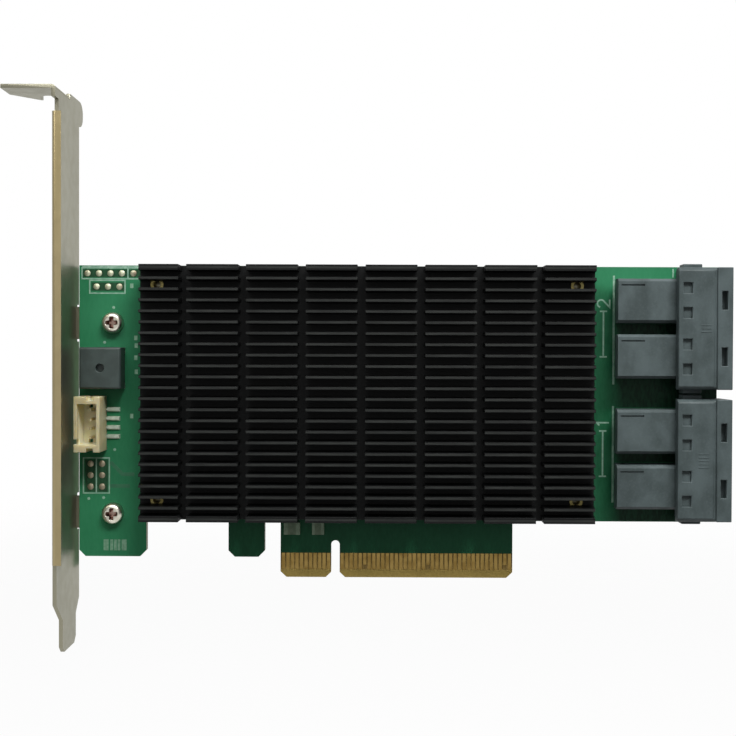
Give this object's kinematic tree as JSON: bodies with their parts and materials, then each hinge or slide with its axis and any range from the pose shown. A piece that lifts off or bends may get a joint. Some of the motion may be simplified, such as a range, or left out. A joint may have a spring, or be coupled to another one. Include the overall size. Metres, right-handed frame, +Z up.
{
  "type": "host bus adapter",
  "caption": "Plug-in expansion card on a folded slot bracket, with a gold edge connector, a black cross-cut finned heat sink and internal storage cable sockets.",
  "frame": {"origin": "middle of the key slot at the lower edge of the edge connector, half way through the board's thickness", "axes": "+X along the card away from the bracket, +Y away from the component side, +Z up, out of the socket"},
  "size_m": [0.154, 0.0216, 0.1206],
  "materials": {
    "solder_mask": "satin green solder mask over glass fibre",
    "contact_gold": "gold plating",
    "bracket_steel": "dull zinc plating",
    "screw_nickel": "nickel plating",
    "black_anodised": "matt black anodising",
    "standoff_brass": "turned, uncoated",
    "port_plastic": "satin moulded",
    "buzzer_plastic": "satin moulded",
    "tinned_metal": "tin plating",
    "header_plastic": "moulded, undyed",
    "chip_package": "moulded",
    "thermal_pad": "soft, matt",
    "ferrite": "pressed powder",
    "metal_can": "plated can",
    "capacitor_ceramic": "fired ceramic"
  },
  "bodies": {
    "root": {"circuit_board": "solder_mask", "edge_contacts_front": "contact_gold", "edge_contacts_rear": "contact_gold", "slot_bracket": "bracket_steel", "bracket_screws": "screw_nickel", "heat_sink": "black_anodised", "sink_standoffs": "standoff_brass", "sink_screws": "screw_nickel", "port_shroud_upper": "port_plastic", "port_shroud_lower": "port_plastic", "buzzer": "buzzer_plastic", "buzzer_terminals": "tinned_metal", "wire_header": "header_plastic", "wire_header_pins": "tinned_metal", "switch_chip": "chip_package", "thermal_pad": "thermal_pad", "power_inductors": "ferrite", "voltage_regulators": "chip_package", "setup_memory": "chip_package", "clock_source": "metal_can", "edge_capacitors": "capacitor_ceramic", "coupling_capacitors": "capacitor_ceramic", "bypass_capacitors": "capacitor_ceramic", "contact_block_1": "port_plastic", "port_contacts_1": "contact_gold", "contact_block_2": "port_plastic", "port_contacts_2": "contact_gold", "contact_block_3": "port_plastic", "port_contacts_3": "contact_gold", "contact_block_4": "port_plastic", "port_contacts_4": "contact_gold"}
  },
  "joints": []
}
